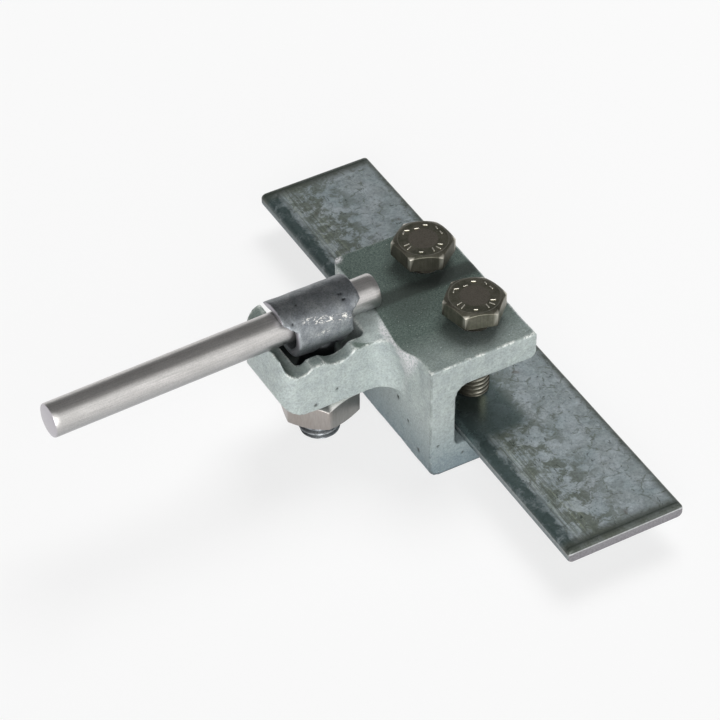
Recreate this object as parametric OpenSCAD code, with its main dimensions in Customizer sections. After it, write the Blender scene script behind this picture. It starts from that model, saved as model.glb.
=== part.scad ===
// Connection clamp: a cast C-shaped clamp body grips a flat strip under two hexagon pressure
// screws, and an eye bolt on its side arm pulls a round conductor down across the arm.
// Millimetres. X runs along the round conductor, Y along the flat strip, Z up.
// The origin is the middle of the body's bottom face.

/* [Clamp body] */
// Depth of the body along X, from its closed back to its open ends
body_w = 27.4; // [26.5:0.1:34]
// Length of the body along Y
body_l = 45.2; // [44:0.2:70]
// Thickness of the bottom jaw
jaw_t = 7.3; // [6:0.1:12]
// Clear height between the two jaws
gap_h = 17.8; // [15:0.1:22]
// Thickness of the top jaw
flange_t = 6.9; // [5:0.1:12]
// Thickness of the closed back
back_t = 6.6; // [5:0.1:7.6]
// Radius of the long bottom edge at the back
heel_r = 2.2; // [1:0.1:4]
// Radius of the long edges at the open ends
nose_r = 1.4; // [0.5:0.1:2.5]
// Radius inside the channel under the top jaw
channel_top_r = 3.4; // [1:0.1:5]
// Radius inside the channel above the bottom jaw
channel_foot_r = 1.2; // [0.5:0.1:2]

/* [Side arm] */
// Distance the arm reaches out from the back of the body
arm_reach = 28.4; // [27.5:0.1:36]
// Width of the arm along Y
arm_w = 20.8; // [20:0.1:22.4]
// Distance of the arm's centre line behind the middle of the body
arm_shift = 4.8; // [0:0.1:5]
// Depth of the arm below the top of the body
arm_drop = 15.6; // [14:0.1:17]
// Thickness of the arm's floor
floor_t = 2.6; // [2:0.1:4]
// Height of the round boss under the floor, where the nut bears
boss_h = 1.3; // [0.5:0.1:2.4]
// Diameter of that boss
boss_d = 16; // [13:0.1:17]
// Thickness of the front and rear walls
side_wall_t = 3.6; // [2.5:0.1:3.8]
// Thickness of the end wall
end_wall_t = 5.6; // [4.5:0.1:5.8]
// Thickness of the web between the pocket and the body
web_t = 5; // [4:0.1:5.2]
// Radius of the upright front corner at the arm's end
arm_corner_r = 4.4; // [2:0.1:5]
// Radius of the upright rear corner at the arm's end
arm_rear_corner_r = 5.4; // [2:0.1:6]
// Radius of the arm's belly edge under its end
belly_r = 7; // [3:0.1:8]
// Radius of the upright fillets between arm and body
arm_fillet_r = 6; // [2:0.1:6.4]
// Radius of the pocket's upright corners
pocket_r = 1.6; // [0.5:0.1:3]

/* [Arm rim] */
// Radius of the cross groove, which takes the largest round conductor
groove_r = 5; // [4:0.1:6]
// Depth of the cross groove's bottom below the top of the body
groove_drop = 3.6; // [3:0.1:4.5]
// Radius of the hollow between the end lip and the tooth
hollow_r = 4.2; // [3:0.1:4.6]
// Distance of that hollow from the bolt axis
hollow_offset = 9.9; // [9:0.1:10.5]
// Depth of that hollow below the top of the body
hollow_drop = 3.7; // [3:0.1:4.5]
// Depth of the tooth beside the groove
tooth_drop = 2.2; // [1.5:0.1:2.8]
// Depth of the ridge on the other side of the groove
ridge_drop = 1.6; // [1:0.1:2.5]
// Length of the slope from the ridge up to the body
slope_l = 4.6; // [2:0.1:6]
// Height of the rear stop above the top of the body
stop_rise = 2.1; // [1:0.1:3]

/* [Pressure screws] */
// Shank diameter over the thread
screw_d = 7.9; // [6.5:0.1:8.5]
// Length under the head
screw_l = 23.9; // [20:0.1:34]
// Width of the hexagon head across flats
head_af = 13; // [11:0.5:14]
// Height of the head
head_h = 4.2; // [3.5:0.1:6]
// Distance between the two screw axes
screw_spacing = 22.6; // [17:0.1:28]
// Distance of the screw axes from the open edge of the top jaw
screw_inset = 9.6; // [8:0.1:11.4]
// Turn of the front head about its axis in degrees
front_head_turn = 43; // [0:1:60]
// Turn of the rear head about its axis in degrees
rear_head_turn = 36; // [0:1:60]

/* [Eye bolt and nut] */
// Stud diameter over the thread
stud_d = 9.8; // [8:0.1:10]
// Distance of the stud's axis from the back of the body
stud_offset = 13.8; // [13.4:0.1:14.2]
// Distance of the stud's axis in front of the arm's centre line
stud_lead = 0.6; // [0:0.1:1]
// Height of the stud's end above the bottom face of the body
stud_end_z = 0.5; // [0.3:0.1:3]
// Inner radius of the eye, which takes the largest round conductor
eye_r = 5.1; // [5.1:0.1:5.4]
// Thickness of the eye's wall
eye_wall = 1.8; // [1.6:0.1:2.2]
// Width of the saddle over the conductor along X
saddle_w = 19.6; // [16:0.1:20.4]
// Width of the eye's legs along X
leg_w = 14; // [11:0.1:14.4]
// Distance of the eye's middle from the stud's axis, away from the body
eye_shift = 1.4; // [0:0.1:1.5]
// Width of the nut across flats
nut_af = 17; // [15:0.5:18]
// Height of the nut
nut_h = 8; // [6:0.1:8.4]
// Turn of the nut about its axis in degrees
nut_turn = 15; // [0:1:60]

/* [Conductors] */
// Diameter of the round conductor
rod_d = 8; // [7:0.1:8.2]
// Length of the round conductor
rod_l = 82.6; // [60:0.2:160]
// How far the round conductor lies over the top of the body
rod_lap = 1; // [0.6:0.1:4]
// Turn of the round conductor about the bolt axis in degrees
rod_turn = 1.6; // [0:0.1:2]
// Width of the flat strip
strip_w = 30; // [20:0.5:40]
// Thickness of the flat strip
strip_t = 3.5; // [3:0.1:6]
// Length of the flat strip
strip_l = 140.6; // [100:0.2:200]
// Distance of the strip's middle behind the middle of the body
strip_shift = 3.5; // [-20:0.5:20]
// Gap between the strip and the back of the channel
strip_gap = 2.2; // [1.5:0.1:6]
// Radius of the strip's long edges
strip_edge_r = 0.9; // [0.3:0.1:1.2]

/* [Hidden] */
$fn = 64;

// Small clearances and overshoots
thread_clear = 0.05; // between a thread and its tapped hole
stud_clear = 0.35;   // between the stud and its hole in the arm's floor
seat_clear = 0.05;   // between pieces that press on each other
eye_clear = 0.3;     // between the eye and the conductor that it presses down
stop_clear = 0.3;    // between the rear stop and the eye's legs
cut = 1;             // how far a cutting shape runs past the metal

// Clamp body
body_h = jaw_t + gap_h + flange_t;
back_x = -body_w / 2;
open_x = body_w / 2;
channel_x = back_x + back_t;
flange_under_z = jaw_t + gap_h;

// Side arm
arm_y = arm_shift;
arm_front_y = arm_y - arm_w / 2;
arm_rear_y = arm_y + arm_w / 2;
arm_end_x = back_x - arm_reach;
under_z = body_h - arm_drop;
seat_z = under_z - boss_h;
pocket_x0 = arm_end_x + end_wall_t;
pocket_x1 = back_x - web_t;
pocket_w = arm_w - 2 * side_wall_t;
stop_z = body_h + stop_rise;
arm_root = back_t / 2; // how far the arm's outline runs into the body
stop_r = [0.5, 6.5];   // radii on the stop's inner and outer top ends

// Bolt axis and the rim heights around it
stud_x = back_x - stud_offset;
stud_y = arm_y - stud_lead;
eye_x = stud_x - eye_shift;
groove_z = body_h - groove_drop;
hollow_z = body_h - hollow_drop;
tooth_z = body_h - tooth_drop;
ridge_z = body_h - ridge_drop;
tooth_x = stud_x - sqrt(pow(groove_r, 2) - pow(groove_r + groove_z - tooth_z, 2));
ridge_x = stud_x + sqrt(pow(groove_r, 2) - pow(groove_r + groove_z - ridge_z, 2));

// Pressure screws
screw_x = open_x - screw_inset;
strip_top_z = jaw_t + strip_t;
screw_tip_z = strip_top_z + seat_clear;
screw_chamfer = screw_d * 0.1;
head_corner = head_af / sqrt(3);
head_face_r = head_af * 0.475;

// Round conductor and the eye over it
rod_r = rod_d / 2;
rod_z = body_h + seat_clear + rod_r;
eye_z = rod_z + rod_r + eye_clear - eye_r;
eye_outer_r = eye_r + eye_wall;
shoulder_z = eye_z + eye_outer_r * sin(44);
leg_top_z = eye_z + eye_outer_r * sin(24);
neck_r = stud_d / 2 + 1.1;
neck_top_z = eye_z - eye_r - eye_wall / 2;
neck_h = 3.2;

// Nut
nut_top_z = seat_z - seat_clear;
nut_corner = nut_af / sqrt(3);
nut_face_r = nut_af * 0.43;

// Square block from one corner to the other, given in X and Z and drawn as a flat shape
module span(x0, z0, x1, z1) {
    translate([x0, z0]) square([x1 - x0, z1 - z0]);
}

// Flat shape in X and Z pushed along Y from y0 to y1
module along_y(y0, y1) {
    translate([0, y1, 0]) rotate([90, 0, 0]) linear_extrude(y1 - y0) children();
}

// Flat shape in Y and Z pushed along X from x0 to x1
module along_x(x0, x1) {
    translate([x0, 0, 0]) rotate([90, 0, 90]) linear_extrude(x1 - x0) children();
}

// Rectangle with one radius on each corner: bottom left, bottom right, top right, top left
module rounded_span(x0, z0, x1, z1, r) {
    difference() {
        span(x0, z0, x1, z1);
        corner_cut(x0, z0, r[0], 1, 1);
        corner_cut(x1, z0, r[1], -1, 1);
        corner_cut(x1, z1, r[2], -1, -1);
        corner_cut(x0, z1, r[3], 1, -1);
    }
}

// What a corner radius takes away; sx and sz point into the metal
module corner_cut(x, z, r, sx, sz) {
    if (r > 0)
        difference() {
            translate([x - (sx > 0 ? cut : r), z - (sz > 0 ? cut : r)]) square(r + cut);
            translate([x + sx * r, z + sz * r]) circle(r);
        }
}

// Upright fillet in a plan corner; sx and sy point out of the metal
module fillet_fill(x, y, r, sx, sy) {
    difference() {
        translate([x - (sx > 0 ? cut : r), y - (sy > 0 ? cut : r)]) square(r + cut);
        translate([x + sx * r, y + sy * r]) circle(r);
    }
}

// Hexagon bar with a 30 degree chamfer at its top, or at both ends
module chamfered_hexagon(corner_r, face_r, height, both_ends) {
    reach = corner_r + cut;
    fall = (reach - face_r) * tan(30);
    foot_r = both_ends ? face_r : reach;
    foot_rise = both_ends ? fall : 0;
    intersection() {
        cylinder(h = height, r = corner_r, $fn = 6);
        rotate_extrude()
            polygon([[0, 0], [foot_r, 0], [reach, foot_rise], [reach, height - fall],
                     [face_r, height], [0, height]]);
    }
}

// Section of the body across the strip: a C that opens towards +X
module body_section() {
    difference() {
        rounded_span(back_x, 0, open_x, body_h, [heel_r, nose_r, 0, 0]);
        rounded_span(channel_x, jaw_t, open_x + 2 * cut, flange_under_z,
                     [channel_foot_r, 0, 0, channel_top_r]);
        corner_cut(open_x, jaw_t, nose_r, -1, -1);
        corner_cut(open_x, flange_under_z, nose_r, -1, 1);
    }
}

// Plan outline of the arm with its round end and the fillets into the body
module arm_plan() {
    rounded_span(arm_end_x, arm_front_y, back_x + arm_root, arm_rear_y,
                 [arm_corner_r, 0, 0, arm_rear_corner_r]);
    fillet_fill(back_x, arm_front_y, arm_fillet_r, -1, -1);
    fillet_fill(back_x, arm_rear_y, arm_fillet_r, -1, 1);
}

// Side view of the arm in X and Z: belly edge, end lip, hollow, tooth, groove, ridge and the
// slope up to the body
module arm_profile() {
    difference() {
        span(arm_end_x - cut, under_z, back_x + arm_root, body_h);
        corner_cut(arm_end_x, under_z, belly_r, 1, 1);
        translate([stud_x - hollow_offset, hollow_z + hollow_r]) circle(hollow_r);
        groove_and_slopes();
    }
}

// What is cut away above the tooth, in the groove and above the slope to the body
module groove_and_slopes() {
    polygon([[stud_x - hollow_offset, body_h + cut], [stud_x - hollow_offset, tooth_z],
             [tooth_x, tooth_z], [ridge_x, ridge_z], [back_x - slope_l, ridge_z],
             [back_x, body_h], [back_x, body_h + cut]]);
    translate([stud_x, groove_z + groove_r]) circle(groove_r);
}

// Rear stop beside the conductor: the rear wall rises above the top of the body at its end
module rear_stop() {
    stop_x1 = eye_x - leg_w / 2 - stop_clear;
    intersection() {
        translate([0, 0, under_z]) linear_extrude(stop_z - under_z) arm_plan();
        along_y(arm_rear_y - side_wall_t, arm_rear_y)
            rounded_span(arm_end_x, under_z + belly_r, stop_x1, stop_z,
                         [0, 0, stop_r[0], stop_r[1]]);
    }
}

module clamp_body() {
    color("#9aa39c")
    difference() {
        union() {
            along_y(-body_l / 2, body_l / 2) body_section();
            intersection() {
                translate([0, 0, under_z]) linear_extrude(arm_drop) arm_plan();
                along_y(-body_l / 2, body_l / 2) arm_profile();
            }
            translate([stud_x, stud_y, seat_z]) cylinder(h = boss_h + cut, d = boss_d);
            rear_stop();
        }
        translate([0, 0, under_z + floor_t])
            linear_extrude(body_h)
                rounded_span(pocket_x0, arm_y - pocket_w / 2, pocket_x1, arm_y + pocket_w / 2,
                             [pocket_r, pocket_r, pocket_r, pocket_r]);
        translate([stud_x, stud_y, seat_z - cut])
            cylinder(h = boss_h + floor_t + 2 * cut, r = stud_d / 2 + stud_clear);
        for (side = [-1, 1])
            translate([screw_x, side * screw_spacing / 2, flange_under_z - cut])
                cylinder(h = flange_t + 2 * cut, r = screw_d / 2 + thread_clear);
    }
}

// Hexagon-head screw with its axis on Z and its tip at z = 0
module pressure_screw(turn) {
    color("#8a8272") {
        cylinder(h = screw_chamfer, r1 = screw_d / 2 - screw_chamfer, r2 = screw_d / 2);
        translate([0, 0, screw_chamfer])
            cylinder(h = screw_l - screw_chamfer, r = screw_d / 2);
        translate([0, 0, screw_l])
            rotate([0, 0, turn])
                chamfered_hexagon(head_corner, head_face_r, head_h, false);
    }
}

module pressure_screw_front() {
    translate([screw_x, -screw_spacing / 2, screw_tip_z]) pressure_screw(front_head_turn);
}

module pressure_screw_rear() {
    translate([screw_x, screw_spacing / 2, screw_tip_z]) pressure_screw(rear_head_turn);
}

// Front view of the eye in X and Z, from the wide saddle over the shoulders to the legs
module eye_outline() {
    top_z = eye_z + eye_outer_r + cut;
    foot_z = eye_z - eye_outer_r - cut;
    leg_foot_z = eye_z - eye_outer_r * 0.7;
    half_saddle = saddle_w / 2;
    half_leg = leg_w / 2;
    polygon([[-half_saddle, top_z], [-half_saddle, shoulder_z], [-half_leg, leg_top_z],
             [-half_leg, leg_foot_z], [-neck_r, foot_z], [neck_r, foot_z],
             [half_leg, leg_foot_z], [half_leg, leg_top_z], [half_saddle, shoulder_z],
             [half_saddle, top_z]]);
}

// Eye bolt: a ring that is wide over the conductor and narrows into a threaded stud
module eye_bolt() {
    stud_chamfer = stud_d * 0.045;
    color("#7c828a")
    translate([stud_x, stud_y, 0]) {
        difference() {
            union() {
                intersection() {
                    along_x(-saddle_w, saddle_w) translate([0, eye_z]) circle(eye_outer_r);
                    translate([-eye_shift, 0, 0])
                        along_y(-eye_outer_r - cut, eye_outer_r + cut) eye_outline();
                }
                translate([0, 0, neck_top_z - neck_h])
                    cylinder(h = neck_h, r1 = stud_d / 2, r2 = neck_r);
            }
            along_x(-saddle_w, saddle_w) translate([0, eye_z]) circle(eye_r);
        }
        translate([0, 0, stud_end_z])
            cylinder(h = stud_chamfer, r1 = stud_d / 2 - stud_chamfer, r2 = stud_d / 2);
        translate([0, 0, stud_end_z + stud_chamfer])
            cylinder(h = neck_top_z - neck_h - stud_end_z - stud_chamfer, r = stud_d / 2);
    }
}

module hex_nut() {
    color("#b0aaa2")
    translate([stud_x, stud_y, nut_top_z - nut_h])
        difference() {
            rotate([0, 0, nut_turn])
                chamfered_hexagon(nut_corner, nut_face_r, nut_h, true);
            translate([0, 0, -cut])
                cylinder(h = nut_h + 2 * cut, r = stud_d / 2 + thread_clear);
        }
}

// Round conductor, lying across the pocket under the eye
module round_conductor() {
    color("#c9c6c0")
    translate([stud_x, stud_y, rod_z])
        rotate([0, 0, rod_turn])
            translate([stud_offset + rod_lap - rod_l, 0, 0])
                rotate([0, 90, 0])
                    cylinder(h = rod_l, r = rod_r);
}

// Flat strip, lying on the bottom jaw
module flat_strip() {
    strip_x0 = channel_x + strip_gap;
    color("#7f8790")
    along_y(strip_shift - strip_l / 2, strip_shift + strip_l / 2)
        rounded_span(strip_x0, jaw_t, strip_x0 + strip_w, strip_top_z,
                     [strip_edge_r, strip_edge_r, strip_edge_r, strip_edge_r]);
}

clamp_body();
pressure_screw_front();
pressure_screw_rear();
eye_bolt();
hex_nut();
round_conductor();
flat_strip();
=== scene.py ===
import math
import bmesh
import bpy
from mathutils import Matrix, Vector, noise


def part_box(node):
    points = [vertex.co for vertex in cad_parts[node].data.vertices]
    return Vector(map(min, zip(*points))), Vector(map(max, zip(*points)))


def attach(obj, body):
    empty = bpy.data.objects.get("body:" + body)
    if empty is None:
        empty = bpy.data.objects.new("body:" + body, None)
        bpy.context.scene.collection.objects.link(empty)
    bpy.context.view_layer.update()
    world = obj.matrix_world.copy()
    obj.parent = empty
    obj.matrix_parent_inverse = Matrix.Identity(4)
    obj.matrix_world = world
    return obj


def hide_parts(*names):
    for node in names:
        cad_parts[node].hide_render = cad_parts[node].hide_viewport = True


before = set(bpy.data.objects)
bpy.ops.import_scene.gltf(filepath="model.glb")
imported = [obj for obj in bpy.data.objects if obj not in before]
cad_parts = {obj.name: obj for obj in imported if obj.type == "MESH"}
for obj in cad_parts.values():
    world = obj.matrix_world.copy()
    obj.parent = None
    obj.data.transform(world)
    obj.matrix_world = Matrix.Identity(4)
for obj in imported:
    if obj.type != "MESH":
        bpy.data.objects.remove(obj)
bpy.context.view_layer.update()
mm = 0.001

# Camera

cameraPlace = {
    "place": (-284.24, -466.28, 515.15),                 # mm, in the part's own frame
    "right": (0.86836934, -0.49591473, -0.00180536),
    "up": (0.33718721, 0.5877529, 0.73542594),
    "lens": 160.84, "sensor": 36,                        # mm
    "clipStart": 0.01,                                   # metres
}


def addCamera():
    data = bpy.data.cameras.new("camera")
    data.lens = cameraPlace["lens"]
    data.sensor_width = cameraPlace["sensor"]
    data.clip_start = cameraPlace["clipStart"]
    camera = bpy.data.objects.new("camera", data)
    bpy.context.collection.objects.link(camera)
    right, up = Vector(cameraPlace["right"]), Vector(cameraPlace["up"])
    back = right.cross(up).normalized()
    turn = Matrix((right, up, back)).transposed().to_4x4()
    camera.matrix_world = Matrix.Translation(Vector(cameraPlace["place"]) * mm) @ turn
    bpy.context.scene.camera = camera


# Node helpers

def link(tree, source, target):
    tree.links.new(source, target)


def newMaterial(name):
    material = bpy.data.materials.new(name)
    material.use_nodes = True
    tree = material.node_tree
    shader = tree.nodes["Principled BSDF"]
    return material, tree, shader


def objectPoint(tree, scale=(1, 1, 1)):
    # object coordinates in millimetres
    point = tree.nodes.new("ShaderNodeTexCoord")
    mapping = tree.nodes.new("ShaderNodeMapping")
    mapping.inputs["Scale"].default_value = [1000 * s for s in scale]
    link(tree, point.outputs["Object"], mapping.inputs["Vector"])
    return mapping.outputs["Vector"]


def noiseAt(tree, point, scale, detail, rough, distort=0.0):
    node = tree.nodes.new("ShaderNodeTexNoise")
    node.inputs["Scale"].default_value = scale
    node.inputs["Detail"].default_value = detail
    node.inputs["Roughness"].default_value = rough
    node.inputs["Distortion"].default_value = distort
    link(tree, point, node.inputs["Vector"])
    return node.outputs["Fac"]


def cellsAt(tree, point, scale, feature="F1"):
    node = tree.nodes.new("ShaderNodeTexVoronoi")
    node.feature = feature
    node.inputs["Scale"].default_value = scale
    link(tree, point, node.inputs["Vector"])
    return node.outputs["Distance"]


def warped(tree, point, scale, amount):
    # point pushed about by soft noise, amount in millimetres
    node = tree.nodes.new("ShaderNodeTexNoise")
    node.inputs["Scale"].default_value = scale
    link(tree, point, node.inputs["Vector"])
    push = tree.nodes.new("ShaderNodeVectorMath")
    push.operation = "MULTIPLY_ADD"
    link(tree, node.outputs["Color"], push.inputs[0])
    push.inputs[1].default_value = (amount, amount, amount)
    link(tree, point, push.inputs[2])
    return push.outputs[0]


def axisOf(tree, point, axis):
    node = tree.nodes.new("ShaderNodeSeparateXYZ")
    link(tree, point, node.inputs["Vector"])
    return node.outputs[axis]


def ramp(tree, value, stops):
    # stops are (position, grey or colour)
    node = tree.nodes.new("ShaderNodeValToRGB")
    elements = node.color_ramp.elements
    while len(elements) < len(stops):
        elements.new(0.5)
    for element, (position, shade) in zip(elements, stops):
        element.position = position
        colour = shade if isinstance(shade, tuple) else (shade, shade, shade)
        element.color = (*colour, 1)
    link(tree, value, node.inputs["Fac"])
    return node.outputs["Color"]


def mixColour(tree, amount, first, second, blend="MIX"):
    node = tree.nodes.new("ShaderNodeMix")
    node.data_type = "RGBA"
    node.blend_type = blend
    node.clamp_factor = True
    for socket, value in ((node.inputs[0], amount), (node.inputs[6], first), (node.inputs[7], second)):
        if isinstance(value, bpy.types.NodeSocket):
            link(tree, value, socket)
        elif isinstance(value, tuple):
            socket.default_value = (*value, 1)
        else:
            socket.default_value = value
    return node.outputs[2]


def calc(tree, kind, first, second=None, clamp=False):
    node = tree.nodes.new("ShaderNodeMath")
    node.operation = kind
    node.use_clamp = clamp
    for socket, value in zip(node.inputs, (first, second)):
        if isinstance(value, bpy.types.NodeSocket):
            link(tree, value, socket)
        elif value is not None:
            socket.default_value = value
    return node.outputs[0]


def attribute(tree, name):
    node = tree.nodes.new("ShaderNodeAttribute")
    node.attribute_name = name
    return node.outputs["Fac"]


def painted(tree, base, name, colour, pattern=None):
    # the colour over the base where the mesh's attribute has it, broken up by the pattern
    amount = attribute(tree, name)
    if pattern is not None:
        amount = calc(tree, "MULTIPLY", amount, pattern)
    return mixColour(tree, amount, base, colour)


def shaded(tree, base, shade):
    return mixColour(tree, 1.0, base, shade, "MULTIPLY")


def finishShader(tree, shader, facts, base, rough, height):
    # colour, gloss and fine relief, whose depth is in millimetres
    link(tree, base, shader.inputs["Base Color"])
    shader.inputs["Metallic"].default_value = facts["metallic"]
    link(tree, rough, shader.inputs["Roughness"])
    node = tree.nodes.new("ShaderNodeBump")
    node.inputs["Strength"].default_value = facts["bumpStrength"]
    node.inputs["Distance"].default_value = facts["bumpDepth"] * mm
    link(tree, height, node.inputs["Height"])
    link(tree, node.outputs["Normal"], shader.inputs["Normal"])


# Materials; colours are linear and pattern scales are per millimetre

castZinc = {
    "pale": (0.56, 0.625, 0.6), "grey": (0.43, 0.485, 0.485), "low": (0.24, 0.303, 0.328),
    "patina": (0.068, 0.094, 0.082), "patinaLight": (0.14, 0.183, 0.163), "rim": (0.15, 0.195, 0.17),
    "bright": (0.9, 0.93, 0.89), "rubbed": (0.8, 0.79, 0.805), "pitAndShade": (0.035, 0.042, 0.038),
    "metallic": 0.2, "bumpDepth": 0.06, "bumpStrength": 0.9,
    "cloudScale": 0.35, "sandScale": 2.1, "fineScale": 4.2, "speckScale": 1.1,
    "lowTop": 40.0, "lowWander": 12.0,                   # mm
}


def castZincMaterial():
    facts = castZinc
    material, tree, shader = newMaterial("castZinc")
    point = objectPoint(tree)
    cloud = noiseAt(tree, point, facts["cloudScale"], 5, 0.6)
    sand = noiseAt(tree, point, facts["sandScale"], 4, 0.7)
    fine = noiseAt(tree, point, facts["fineScale"], 3, 0.65)
    soft = ramp(tree, cloud, [(0.35, 0.0), (0.7, 1.0)])
    base = mixColour(tree, soft, facts["pale"], facts["grey"])
    wander = calc(tree, "MULTIPLY", cloud, facts["lowWander"])
    height = calc(tree, "DIVIDE", calc(tree, "ADD", axisOf(tree, point, 2), wander), facts["lowTop"])
    base = mixColour(tree, ramp(tree, height, [(0.2, 1.0), (0.56, 0.0)]), base, facts["low"])
    base = painted(tree, base, "rimShade", facts["rim"])
    mottle = ramp(tree, fine, [(0.36, 0.0), (0.66, 1.0)])
    dark = mixColour(tree, mottle, facts["patina"], facts["patinaLight"])
    base = painted(tree, base, "topPatina", dark)
    base = shaded(tree, base, ramp(tree, sand, [(0.32, 0.76), (0.5, 1.0), (0.66, 1.16)]))
    dots = ramp(tree, cellsAt(tree, point, facts["speckScale"]), [(0.07, 1.0), (0.14, 0.0)])
    specks = calc(tree, "MULTIPLY", dots, ramp(tree, cloud, [(0.46, 0.0), (0.58, 0.55)]))
    base = mixColour(tree, specks, base, facts["bright"])
    base = painted(tree, base, "rubbed", facts["rubbed"], ramp(tree, sand, [(0.4, 0.15), (0.56, 1.0)]))
    base = painted(tree, base, "wearAndHighlight", facts["bright"], ramp(tree, sand, [(0.36, 0.0), (0.52, 1.0)]))
    # dark dirt in dents and hollows, together with painted shade under the bar, in the arm's hollow and on
    # the plate
    base = painted(tree, base, "grimeAndShade", facts["pitAndShade"])
    rough = ramp(tree, sand, [(0.3, 0.64), (0.7, 0.46)])
    relief = calc(tree, "ADD", sand, calc(tree, "MULTIPLY", fine, 0.5))
    finishShader(tree, shader, facts, base, rough, relief)
    return material


screwMetal = {
    "bronze": (0.325, 0.31, 0.247), "olive": (0.208, 0.208, 0.158), "disc": (0.345, 0.312, 0.262),
    "wornAndHighlight": (0.95, 0.91, 0.8), "paintedShade": (0.03, 0.028, 0.022),
    "metallic": 0.95, "bumpDepth": 0.015, "bumpStrength": 0.6, "shadeDull": 0.3,
    "cloudScale": 0.5, "fineScale": 4.0, "drawnScale": 1.2, "drawnStretch": (3.0, 3.0, 0.12),
}


def screwMetalMaterial():
    facts = screwMetal
    material, tree, shader = newMaterial("screwMetal")
    point = objectPoint(tree)
    cloud = noiseAt(tree, point, facts["cloudScale"], 4, 0.55)
    fine = noiseAt(tree, point, facts["fineScale"], 4, 0.65)
    drawn = noiseAt(tree, objectPoint(tree, facts["drawnStretch"]), facts["drawnScale"], 3, 0.6)
    patches = ramp(tree, cloud, [(0.35, 0.0), (0.65, 1.0)])
    base = mixColour(tree, patches, facts["bronze"], facts["olive"])
    base = painted(tree, base, "faceDisc", facts["disc"])
    both = calc(tree, "ADD", fine, drawn)
    grain = ramp(tree, calc(tree, "MULTIPLY", both, 0.5), [(0.35, 0.72), (0.62, 1.2)])
    base = shaded(tree, base, grain)
    # painted shade on the heads' chamfers and sides, on the threads' roots and back, and under the heads
    base = painted(tree, base, "paintedShade", facts["paintedShade"])
    # bright strokes, and painted glints and highlights
    base = painted(tree, base, "wearAndHighlight", facts["wornAndHighlight"])
    dull = calc(tree, "MULTIPLY", attribute(tree, "paintedShade"), facts["shadeDull"])
    gloss = ramp(tree, fine, [(0.3, 0.4), (0.7, 0.27)])
    finishShader(tree, shader, facts, base, calc(tree, "ADD", gloss, dull), both)
    return material


eyeZinc = {
    "slate": (0.185, 0.2, 0.215), "pale": (0.34, 0.36, 0.37), "spark": (0.95, 0.93, 0.88),
    "nick": (0.02, 0.022, 0.024), "rim": (0.4, 0.385, 0.42),
    "metallic": 0.9, "bumpDepth": 0.05, "bumpStrength": 0.6,
    "shadeTop": 50.0,                                    # mm
    "cloudScale": 0.3, "fineScale": 2.6, "flakeScale": 1.7, "flakeStretch": (0.6, 1.1, 1.1),
}


def eyeZincMaterial():
    facts = eyeZinc
    material, tree, shader = newMaterial("eyeZinc")
    point = objectPoint(tree)
    cloud = noiseAt(tree, point, facts["cloudScale"], 5, 0.6, 0.4)
    fine = noiseAt(tree, point, facts["fineScale"], 4, 0.65)
    base = mixColour(tree, ramp(tree, cloud, [(0.35, 0.0), (0.68, 1.0)]), facts["slate"], facts["pale"])
    base = shaded(tree, base, ramp(tree, fine, [(0.32, 0.7), (0.5, 1.0), (0.7, 1.25)]))
    # painted light and shade: lighter below the ring's middle and darker over its top
    height = calc(tree, "DIVIDE", axisOf(tree, point, 2), facts["shadeTop"])
    base = shaded(tree, base, ramp(tree, height, [(0.7, 1.4), (0.84, 0.82)]))
    # painted light on the ring's end faces
    base = painted(tree, base, "endFace", facts["rim"])
    flakes = noiseAt(tree, objectPoint(tree, facts["flakeStretch"]), facts["flakeScale"], 3, 0.65, 0.6)
    base = painted(tree, base, "spangleHighlight", facts["spark"], ramp(tree, flakes, [(0.53, 0.0), (0.6, 1.0)]))
    # dark dents, and painted shade under the ring's foot and along the stud's thread
    base = painted(tree, base, "nick", facts["nick"])
    rough = ramp(tree, cloud, [(0.3, 0.48), (0.7, 0.37)])
    finishShader(tree, shader, facts, base, rough, calc(tree, "ADD", fine, cloud))
    return material


nutMetal = {
    "pale": (0.39, 0.36, 0.34), "warm": (0.36, 0.325, 0.3), "shade": (0.17, 0.185, 0.18),
    "wornAndHighlight": (1.0, 0.99, 0.95),
    "metallic": 0.85, "bumpDepth": 0.008, "bumpStrength": 0.4,
    "cloudScale": 0.35, "streakScale": 3.0, "streakStretch": (1, 1, 0.15),
}


def nutMetalMaterial():
    facts = nutMetal
    material, tree, shader = newMaterial("nutMetal")
    cloud = noiseAt(tree, objectPoint(tree), facts["cloudScale"], 4, 0.5)
    streak = noiseAt(tree, objectPoint(tree, facts["streakStretch"]), facts["streakScale"], 4, 0.6)
    base = mixColour(tree, ramp(tree, cloud, [(0.35, 0.0), (0.7, 1.0)]), facts["pale"], facts["warm"])
    base = painted(tree, base, "sideShade", facts["shade"])
    base = shaded(tree, base, ramp(tree, streak, [(0.3, 0.9), (0.7, 1.08)]))
    base = painted(tree, base, "wearAndHighlight", facts["wornAndHighlight"])
    rough = ramp(tree, streak, [(0.3, 0.42), (0.7, 0.32)])
    finishShader(tree, shader, facts, base, rough, streak)
    return material


barMetal = {
    "silver": (0.68, 0.66, 0.645), "dull": (0.5, 0.49, 0.475), "under": (0.34, 0.345, 0.35),
    "cut": (0.52, 0.5, 0.53),
    "metallic": 0.93, "bumpDepth": 0.025, "bumpStrength": 0.5,
    "cloudScale": 0.16, "fineScale": 3.0, "drawnScale": 2.2, "drawnStretch": (0.05, 1.6, 1.6),
}


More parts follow.
